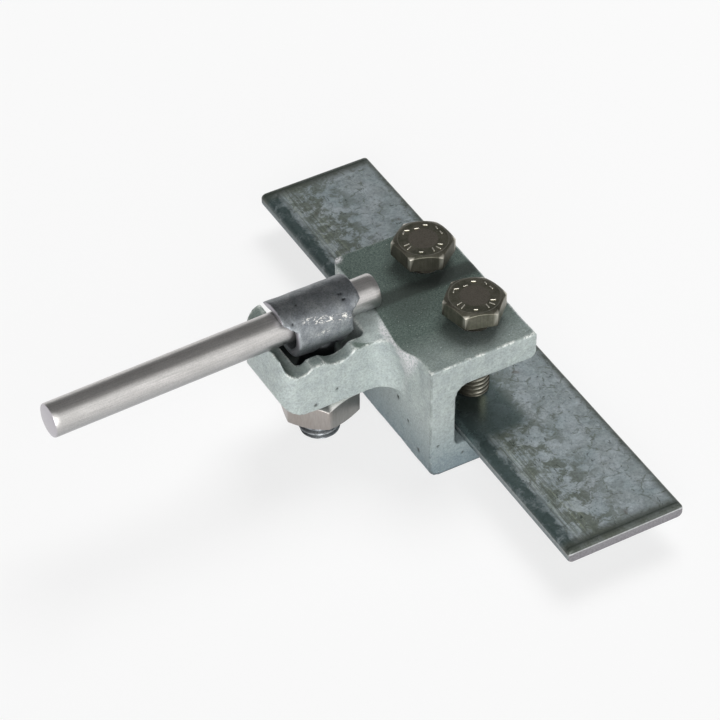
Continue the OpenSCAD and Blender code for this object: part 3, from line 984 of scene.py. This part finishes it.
def shankShade(shank, axis, values):
    # dull crests with a painted highlight streak at the front, and painted shade at the roots, on the back
    # and in the gap under the head
    marks = []
    x, y = pressureScrew["streakWay"]
    for vert in shank.vertices:
        facing = (x * (vert.co.x - axis.x) + y * (vert.co.y - axis.y)) / values["Radius"]
        streak = slide(facing, 0.78, 0.96)
        onCrest = crestShare(vert.co, axis, values)
        gap = slide(vert.co.z / mm, pressureScrew["topZ"] - 0.4, pressureScrew["topZ"] + 0.2)
        paintedShade = max(gap, 0.82 * (1 - onCrest), 0.86 - 0.6 * streak)
        # painted highlight: a bright streak on the crests that face the front
        wearAndGlint = (0.06 + 0.7 * streak) * onCrest * (1 - paintedShade)
        marks.append({"wearAndHighlight": wearAndGlint, "paintedShade": paintedShade, "faceDisc": 0.0})
    fillAttributes(shank, marks)


def makePressureScrew(which, tree, material):
    size = pressureScrew
    low, high = [Vector(corner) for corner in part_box("pressure_screw_" + which)]
    axis = (low + high) / 2
    headZ = high.z - size["height"] * mm
    form = bmesh.new()
    hexagonMesh(form, size, False, False)
    for angle, share, tilt, length in size["strokes"]:
        spread = math.radians(angle + size["strokeShift"][which] - size["turns"][which])
        middle = Vector((math.cos(spread), math.sin(spread), 0)) * share * size["faceRadius"]
        middle.z = size["height"]
        raisedStroke(form, middle, spread + math.radians(tilt), length)
    headWearAndLight(form, size["sidePaintedShade"][which])
    head = closeForm(form, bpy.data.meshes.new("screwHead"))
    setInPlace(head, (axis.x, axis.y, headZ), size["turns"][which])
    values = threadValues(size, headZ - low.z)
    shank = threadedBar(tree, "screwShank", values, material, (axis.x, axis.y, low.z))
    shankShade(shank, axis, values)
    name = "pressureScrew" + which.capitalize()
    screw = finishMesh(name, joinMeshes(name, [head, shank]), material, size["sharpAngle"])
    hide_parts("pressure_screw_" + which)
    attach(screw, which + "_screw")
    return screw


# Nut

hexNut = {
    "acrossFlats": 17.0, "height": 8.0, "faceRadius": 7.31, "cornerRound": 0.4, "edgeRound": 0.16,
    "innerRadius": 4.95, "faceRings": (4.95,), "turn": 15, "sharpAngle": 38,
    "dullFrom": 256.0, "dullTo": 316.0,                  # degrees round the nut, where its side is darker
}


def makeHexNut(material):
    size = hexNut
    low, high = [Vector(corner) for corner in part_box("hex_nut")]
    middle = (low + high) / 2
    form = bmesh.new()
    hexagonMesh(form, size, True, True)
    wearAndGlint = form.verts.layers.float.new("wearAndHighlight")
    shade = form.verts.layers.float.new("sideShade")
    for vert in form.verts:
        radius = math.hypot(vert.co.x, vert.co.y)
        facing = (math.degrees(math.atan2(vert.co.y, vert.co.x)) + size["turn"]) % 360
        edge = chamferHeight(radius, size["faceRadius"], size["height"])
        dull = slide(facing, size["dullFrom"], size["dullFrom"] + 1.5)
        dull *= slide(size["dullTo"] - facing, 0.0, 1.5)
        near = 1 - slide(abs(vert.co.z - edge), 0.0, 0.16)
        # painted highlight along the top edge of the darker side
        vert[wearAndGlint] = near * dull * slide(radius, size["faceRadius"] + 0.3, size["faceRadius"] + 0.5)
        bevel = slide(vert.co.z, edge - 0.1, edge - 0.02)
        # painted shade on the side that faces the front and on the chamfers
        vert[shade] = max(0.64 * dull, 0.8 * bevel)
    mesh = closeForm(form, bpy.data.meshes.new("hexNut"))
    setInPlace(mesh, (middle.x, middle.y, low.z), size["turn"])
    nut = finishMesh("hexNut", mesh, material, size["sharpAngle"])
    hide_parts("hex_nut")
    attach(nut, "nut")
    return nut


# Eye bolt

eyeBolt = {
    "voxel": 0.3, "rounds": 10, "sharpAngle": 38,
    "stubTop": 17.0, "overlap": 0.5,                     # mm; the threaded stud ends this far above stubTop
    "threadRadius": 4.9, "threadDepth": 0.85, "pitch": 1.5, "sides": 56, "rows": 150,
    "waveDepth": 0.12, "waveSize": 4.0, "waveZ": 26.0, "nickDepth": 0.2,
    "ringY": 4.2, "ringZ": 35.25, "boreRadius": 5.1, "outerRadius": 6.9,
    "neckRounds": 60, "neckZ": (31.5, 33.0),             # extra smoothing below these heights
    "neckThin": 0.24, "thinZ": (20.0, 24.0), "thinReach": 5.8, "skirt": 1.7, "skirtZ": 31.6,
    "streakX": -33.0, "streakAngle": 40.0, "streakSlope": 1.8,
    "lowerX": -29.5, "lowerAngle": 8.0, "sparkStart": (-34.5, -33.0), "sparkEnd": -21.8,
    "endFaceZ": (29.0, 31.0),
    "nicks": [((-23.5, 1.6, 41.6), 0.42), ((-23.0, 1.6, 41.6), 0.4), ((-23.1, 0.3, 40.9), 0.42),
              ((-22.7, 0.3, 40.9), 0.35), ((-36.4, -0.7, 40.1), 0.4), ((-33.8, 2.6, 42.0), 0.35)],
}


def eyeAboveStub():
    # the CAD eye without the part of its stud that gets a thread, as even quads
    size = eyeBolt
    mesh = nodeCopy("eye_bolt")
    form = openForm(mesh)
    everything = form.verts[:] + form.edges[:] + form.faces[:]
    bmesh.ops.bisect_plane(form, geom=everything, plane_co=(0, 0, size["stubTop"] * mm),
                           plane_no=(0, 0, 1), clear_inner=True)
    bmesh.ops.holes_fill(form, edges=[edge for edge in form.edges if edge.is_boundary])
    return remeshed(closeForm(form, mesh), "eyeRing", size["voxel"], size["rounds"])


def smoothNeck(mesh):
    # fills the crease between the ring's foot and the stud, outside the bore
    size = eyeBolt
    form = openForm(mesh)
    chosen = []
    for vert in form.verts:
        place = vert.co / mm
        fromAxis = math.hypot(place.y - size["ringY"], place.z - size["ringZ"])
        outside = slide(fromAxis, size["boreRadius"] + 0.5, size["boreRadius"] + 1.0)
        share = (1 - slide(place.z, *size["neckZ"])) * outside
        if share > 0 and place.z > size["stubTop"] + 1:
            chosen.append((vert, share))
    for step in range(size["neckRounds"]):
        targets = []
        for vert, share in chosen:
            near = [edge.other_vert(vert).co for edge in vert.link_edges]
            targets.append(vert.co.lerp(sum(near, Vector()) / len(near), 0.5 * share))
        for (vert, share), target in zip(chosen, targets):
            vert.co = target
    closeForm(form, mesh).update()


def belowRing(place):
    # how far a place lies under the ring's outer surface, mm
    across = min(abs(place.y - eyeBolt["ringY"]), eyeBolt["outerRadius"])
    return eyeBolt["ringZ"] - math.sqrt(eyeBolt["outerRadius"] ** 2 - across ** 2) - place.z


def neckShift(place, axis):
    # the neck is a little thinner than the thread, and the ring's foot runs down over it
    size = eyeBolt
    out = Vector((place.x - axis.x / mm, place.y - axis.y / mm, 0.0))
    below = slide(belowRing(place), -0.4, 0.8)
    neck = below * slide(place.z, *size["thinZ"]) * slide(size["thinReach"] - out.length, 0.0, 0.3)
    foot = (1 - below) * size["skirt"] * slide(size["skirtZ"] - place.z, 0.0, 3.2)
    return out * -size["neckThin"] * neck + Vector((0, 0, -foot))


def sparkShare(place, normal):
    # painted highlight on the spangled zinc: a broken bright streak across the front of the ring, and a few
    # flakes below it
    size = eyeBolt
    angle = math.degrees(math.atan2(place.z - size["ringZ"], size["ringY"] - place.y))
    line = size["streakAngle"] - size["streakSlope"] * (place.x - size["streakX"])
    streak = slide(9.0 - abs(angle - line), 0.0, 6.0)
    lower = 0.8 * slide(6.0 - abs(angle - size["lowerAngle"]), 0.0, 5.0)
    lower *= slide(2.5 - abs(place.x - size["lowerX"]), 0.0, 1.5)
    inside = slide(place.x, *size["sparkStart"]) * slide(size["sparkEnd"] - place.x, 0.0, 1.5)
    return max(streak, lower) * inside * slide(-normal.y, 0.3, 0.5)


def makeEyeBolt(tree, material):
    size = eyeBolt
    low, high = [Vector(corner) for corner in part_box("eye_bolt")]
    nutLow, nutHigh = [Vector(corner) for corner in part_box("hex_nut")]
    axis = (nutLow + nutHigh) / 2
    ring = eyeAboveStub()
    smoothNeck(ring)
    places, normals = vertexLists(ring)
    moved, marks = [], []
    for place, normal in zip(places, normals):
        wave = noise.noise(place / size["waveSize"]) * size["waveDepth"] if place.z > size["waveZ"] else 0.0
        nick = nickShare(place, size["nicks"])
        spot = place + normal * (wave - size["nickDepth"] * nick) + neckShift(place, axis)
        spot.z = min(spot.z, high.z / mm)
        moved.append(spot)
        marks.append({
            "spangleHighlight": sparkShare(place, normal),
            "endFace": slide(abs(normal.x), 0.55, 0.85) * slide(place.z, *size["endFaceZ"]),
            # dents, and painted shade on the neck under the ring's foot
            "nick": clampTo(max(nick * 1.6, 0.9 * slide(belowRing(place), -0.3, 0.5))),
        })
    placeVertices(ring, moved)
    fillAttributes(ring, marks)
    values = threadValues(size, (size["stubTop"] + size["overlap"]) * mm - low.z)
    stud = threadedBar(tree, "stud", values, material, (axis.x, axis.y, low.z))
    crests = [crestShare(vert.co, axis, values) for vert in stud.vertices]
    # the stud: painted light on the crests and painted shade at the roots
    fillAttributes(stud, [{"spangleHighlight": 0.0, "endFace": 0.15 * share, "nick": 0.65 - 0.48 * share}
                          for share in crests])
    bolt = finishMesh("eyeBolt", joinMeshes("eyeBolt", [ring, stud]), material, size["sharpAngle"])
    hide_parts("eye_bolt")
    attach(bolt, "eye")
    return bolt


# Round conductor

roundBar = {
    "radius": 4.0, "length": 82.6, "turn": 1.6,          # mm and degrees
    "bevel": 0.4, "dome": 0.25, "sides": 96, "steps": 60, "sharpAngle": 38,
}


def barProfile():
    # (place along the bar, radius, share of the cut face) from one domed end to the other
    size = roundBar
    half, radius, soft, dome = size["length"] / 2, size["radius"], size["bevel"], size["dome"]
    end = [(-half, 0.0, 1.0), (-half + dome * 0.3, radius * 0.5, 1.0), (-half + dome, radius - soft, 1.0),
           (-half + dome + soft * 0.3, radius - soft * 0.3, 0.7), (-half + dome + soft, radius, 0.0)]
    straight = 2 * (half - dome - soft)
    middle = [(end[-1][0] + straight * step / size["steps"], radius, 0.0) for step in range(1, size["steps"])]
    return end + middle + [(-along, r, cut) for along, r, cut in reversed(end)]


def makeRoundBar(material):
    size = roundBar
    low, high = [Vector(corner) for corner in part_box("round_conductor")]
    middle = (low + high) / 2
    form = bmesh.new()
    cutFace = form.verts.layers.float.new("cutFace")
    underShade = form.verts.layers.float.new("underShade")
    rows = []
    for along, r, cut in barProfile():
        if r == 0.0:
            tip = form.verts.new((along, 0, 0))
            tip[cutFace] = cut
            rows.append([tip])
            continue
        ring = []
        for step in range(size["sides"]):
            a = 2 * math.pi * step / size["sides"]
            vert = form.verts.new((along, -r * math.sin(a), r * math.cos(a)))
            vert[cutFace] = cut
            # painted shade along the underside
            vert[underShade] = 0.85 * slide(-math.cos(a), -0.35, 0.35)
            ring.append(vert)
        rows.append(ring)
    for first, second in zip(rows[1:-1], rows[2:-1]):
        ringFaces(form, first, second)
    for i in range(size["sides"]):
        j = (i + 1) % size["sides"]
        form.faces.new((rows[0][0], rows[1][j], rows[1][i]))
        form.faces.new((rows[-1][0], rows[-2][i], rows[-2][j]))
    bmesh.ops.recalc_face_normals(form, faces=form.faces[:])
    mesh = closeForm(form, bpy.data.meshes.new("roundBar"))
    setInPlace(mesh, middle, size["turn"])
    bar = finishMesh("roundBar", mesh, material, size["sharpAngle"])
    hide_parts("round_conductor")
    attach(bar, "clamp")
    return bar


# Flat strip

flatStrip = {
    # lengths in mm
    "edgeRound": 1.2, "columns": 56, "rows": 220, "sharpAngle": 38,
    "endRound": 0.7, "footShare": 0.3,                   # how much of the end's round the lower edge has
    "waveDepth": 0.03, "waveSize": 9.0,
    "sideWidth": 1.2, "ridgeAt": 3.7, "ridgeSway": 0.5, "endRidge": 1.3, "lineZ": 0.4, "shearZ": 0.8,
    "jawReach": 28.5, "jawX": 11.0, "farHalf": (10.0, 40.0),
    "islands": (3.0, 6.0), "islandsEnd": (12.0, 20.0),   # from the left side
    "streaks": (3.2, 4.2), "streaksEnd": (6.5, 11.0),
    "mirrorFoot": (4.7, -15.2), "toViewer": (-0.52, -0.85),   # foot of the mirror image, and the way it runs
    "mirrorBright": 0.6, "mirrorDark": 0.8,
}


def stripSection(width, thickness, soft, columns):
    # closed section in X and Z with round corners, anticlockwise from the bottom left
    points = []
    corners = ((-1, -1, 180), (1, -1, 270), (1, 1, 0), (-1, 1, 90))
    for index, (sx, sz, start) in enumerate(corners):
        centre = Vector((sx * (width / 2 - soft), sz * (thickness / 2 - soft)))
        for step in range(8):
            points.append(centre + onCircle(math.radians(start + 90 * step / 7)) * soft)
        if index in (0, 2):
            for step in range(1, columns):
                x = sx * (width / 2 - soft) * (1 - 2 * step / columns)
                points.append(Vector((x, sz * thickness / 2)))
    return points


def stripRows(length):
    # (place along the strip, how far the section is drawn in) with a quarter round at each end
    soft = flatStrip["endRound"]
    ends = [(0.0, soft + 0.5), (0.0, soft + 0.25)]
    for step in range(7):
        a = math.radians(90 * step / 6)
        ends.append((soft * (1 - math.cos(a)), soft * (1 - math.sin(a))))
    ends += [(1.0, 0.0), (1.3, 0.0), (1.6, 0.0)]
    start, count = ends[-1][0], flatStrip["rows"]
    inner = length - 2 * start
    middle = [(start + inner * step / count, 0.0) for step in range(1, count)]
    return ends + middle + [(length - along, inset) for along, inset in reversed(ends)]


def screwMirror(place):
    # the front screw's faint mirror image on the strip: how bright and how dark
    footX, footY = flatStrip["mirrorFoot"]
    wayX, wayY = flatStrip["toViewer"]
    x, y = place.x - footX, place.y - footY
    toViewer, across = wayX * x + wayY * y, -wayY * x + wayX * y
    bright = slide(toViewer, -1.0, 0.0) * slide(9.5 - toViewer, 0.0, 8.0) * slide(1.1 - abs(across), 0.0, 0.9)
    dark = slide(toViewer, -6.0, -4.0) * slide(10.0 - toViewer, 0.0, 6.0)
    return bright, dark * slide(across, -7.0, -5.5) * slide(0.4 - across, 0.0, 1.2)


def stripMarks(q, along, place, extent):
    # how each finish, the painted shadow and the painted reflection are spread, from the place across the
    # section and along the strip
    size = flatStrip
    fromLeft = extent.x / 2 + q.x
    fromRight = extent.x / 2 - q.x
    fromEnd = min(along, extent.y - along)
    onSide = 1.0 if min(fromLeft, fromRight) < size["sideWidth"] else 0.0
    bright, dark = screwMirror(place)
    atEnd = slide(0.25 - fromEnd, 0.0, 0.1)
    nearHalf = 1 - 0.7 * slide(place.y, *size["farHalf"])
    sway = noise.noise(Vector((0.0, place.y / 9.0, 0.0)))
    leftLine = 0.65 * slide(0.4 - abs(fromLeft - size["ridgeAt"] - size["ridgeSway"] * sway), 0.0, 0.3)
    leftLine *= slide(noise.noise(Vector((3.0, place.y / 4.0, 0.0))), -0.35, 0.1)
    endLine = slide(0.4 - abs(fromEnd - size["endRidge"]), 0.0, 0.25)
    thinLine = 0.6 * slide(0.22 - abs(q.y - size["lineZ"]), 0.0, 0.12) * onSide
    sheared = 0.95 * slide(0.26 - abs(q.y - size["shearZ"]), 0.0, 0.14) * atEnd
    # painted shadow of the jaw on the strip
    underJaw = slide(size["jawReach"] - abs(place.y), 0.0, 2.5) * slide(size["jawX"] - place.x, 0.0, 3.0)
    return {
        "sideFace": slide(0.3 - q.y, 0.0, 0.25) * onSide * (1 - atEnd),
        "edgeLine": nearHalf * max(thinLine * (1 - atEnd), sheared),
        "underJaw": 0.85 * underJaw,
        "cutFace": slide(0.95 - q.y, 0.0, 0.2) * atEnd,
        "leftReach": fromLeft,
        "rightReach": fromRight,
        "endReach": fromEnd,
        "islandShare": slide(fromLeft, *size["islands"]) * (1 - 0.72 * slide(fromLeft, *size["islandsEnd"])),
        "streakShare": slide(fromLeft, *size["streaks"]) * (1 - slide(fromLeft, *size["streaksEnd"])),
        "ridgeLine": max(leftLine, endLine),
        "mirrorBright": size["mirrorBright"] * bright,
        "mirrorDark": size["mirrorDark"] * dark,
    }


def makeFlatStrip(material):
    size = flatStrip
    low, high = [Vector(corner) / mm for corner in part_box("flat_strip")]
    middle, extent = (low + high) / 2, high - low
    section = stripSection(extent.x, extent.z, size["edgeRound"], size["columns"])
    form = bmesh.new()
    rings, marks = [], []
    for along, inset in stripRows(extent.y):
        ring = []
        for p in section:
            drop = inset * (1.0 if p.y > 0 else size["footShare"])
            q = Vector((p.x * (1 - inset / extent.x), p.y * (1 - drop / (extent.z / 2))))
            place = Vector((middle.x + q.x, low.y + along, middle.z + q.y))
            inside = slide(abs(q.y), 0.0, 0.5) * size["waveDepth"]
            place.z -= max(0.0, noise.noise(place / size["waveSize"])) * inside * (1 if q.y > 0 else -1)
            ring.append(form.verts.new(place * mm))
            marks.append(stripMarks(q, along, place, extent))
        rings.append(ring)
    for first, second in zip(rings, rings[1:]):
        ringFaces(form, first, second)
    form.faces.new(rings[0])
    form.faces.new(list(reversed(rings[-1])))
    bmesh.ops.recalc_face_normals(form, faces=form.faces[:])
    mesh = closeForm(form, bpy.data.meshes.new("flatStrip"))
    fillAttributes(mesh, marks)
    strip = finishMesh("flatStrip", mesh, material, size["sharpAngle"])
    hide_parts("flat_strip")
    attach(strip, "clamp")
    return strip


# Studio

studio = {
    # lengths in metres, power in watts
    "floorSize": 6.0, "floorDrop": 0.0002, "floorGlow": 0.75, "floorColour": (0.86, 0.86, 0.86, 1),
    "key": {"place": (0.55, 0.5, 1.3), "aim": (0, 0, 0.02), "size": 0.85, "power": 17.5, "inGloss": False},
    "fill": {"place": (-0.75, -1.45, 0.75), "aim": (0, 0, 0.02), "size": 1.5, "power": 26, "inGloss": True},
    "world": 0.55, "overhead": 0.13, "frontWay": (-0.45, -0.88, 0),
}


def addLamp(name, facts):
    data = bpy.data.lights.new(name, "AREA")
    data.shape = "SQUARE"
    data.size = facts["size"]
    data.energy = facts["power"]
    lamp = bpy.data.objects.new(name, data)
    lamp.visible_glossy = facts["inGloss"]
    bpy.context.collection.objects.link(lamp)
    place = Vector(facts["place"])
    lamp.location = place
    lamp.rotation_euler = (Vector(facts["aim"]) - place).to_track_quat("-Z", "Y").to_euler()


def seenRays(tree):
    # rays on which the white surroundings show: to the camera, in gloss and through glass
    rays = tree.nodes.new("ShaderNodeLightPath")
    gloss = calc(tree, "MAXIMUM", rays.outputs["Is Glossy Ray"], rays.outputs["Is Transmission Ray"])
    return calc(tree, "MAXIMUM", rays.outputs["Is Camera Ray"], gloss)


def mixShaders(tree, amount, first, second, output):
    mix = tree.nodes.new("ShaderNodeMixShader")
    link(tree, amount, mix.inputs[0])
    link(tree, first.outputs[0], mix.inputs[1])
    link(tree, second.outputs[0], mix.inputs[2])
    link(tree, mix.outputs[0], tree.nodes[output].inputs["Surface"])


def addFloor():
    mesh = bpy.data.meshes.new("floor")
    half = studio["floorSize"] / 2
    z = -studio["floorDrop"]
    corners = [(-half, -half, z), (half, -half, z), (half, half, z), (-half, half, z)]
    mesh.from_pydata(corners, [], [(0, 1, 2, 3)])
    material, tree, shader = newMaterial("floor")
    shader.inputs["Base Color"].default_value = studio["floorColour"]
    shader.inputs["Roughness"].default_value = 0.9
    shader.inputs["Specular IOR Level"].default_value = 0.0
    glow = tree.nodes.new("ShaderNodeEmission")
    glow.inputs["Strength"].default_value = 1.0
    amount = calc(tree, "MULTIPLY", seenRays(tree), studio["floorGlow"])
    mixShaders(tree, amount, shader, glow, "Material Output")
    floor = finishMesh("floor", mesh, material)


def addSky():
    # white round the object and in front of it, and dim overhead and behind
    world = bpy.data.worlds.new("studio")
    world.use_nodes = True
    bpy.context.scene.world = world
    tree = world.node_tree
    light = tree.nodes["Background"]
    light.inputs["Strength"].default_value = studio["world"]
    way = tree.nodes.new("ShaderNodeTexCoord").outputs["Generated"]
    height = ramp(tree, axisOf(tree, way, 2), [(0.12, 0.0), (0.34, 1.0)])
    toFront = tree.nodes.new("ShaderNodeVectorMath")
    toFront.operation = "DOT_PRODUCT"
    link(tree, way, toFront.inputs[0])
    toFront.inputs[1].default_value = studio["frontWay"]
    behind = ramp(tree, toFront.outputs["Value"], [(0.15, 1.0), (0.42, 0.0)])
    dim = (studio["overhead"],) * 3
    shade = mixColour(tree, calc(tree, "MULTIPLY", height, behind), (1.0, 1.0, 1.0), dim)
    seen = tree.nodes.new("ShaderNodeBackground")
    link(tree, shade, seen.inputs["Color"])
    mixShaders(tree, seenRays(tree), light, seen, "World Output")


addCamera()
print("camera ready")
addFloor()
addLamp("key", studio["key"])
addLamp("fill", studio["fill"])
addSky()
print("studio ready")
makeCastBody(castZincMaterial())
print("cast body ready")
thread = threadTree()
screwFinish = screwMetalMaterial()
for side in ("front", "rear"):
    makePressureScrew(side, thread, screwFinish)
print("pressure screws ready")
makeHexNut(nutMetalMaterial())
makeEyeBolt(thread, eyeZincMaterial())
print("eye bolt and nut ready")
makeRoundBar(barMetalMaterial())
makeFlatStrip(stripZincMaterial())
print("conductors ready")

bpy.context.scene.view_settings.view_transform = "Standard"
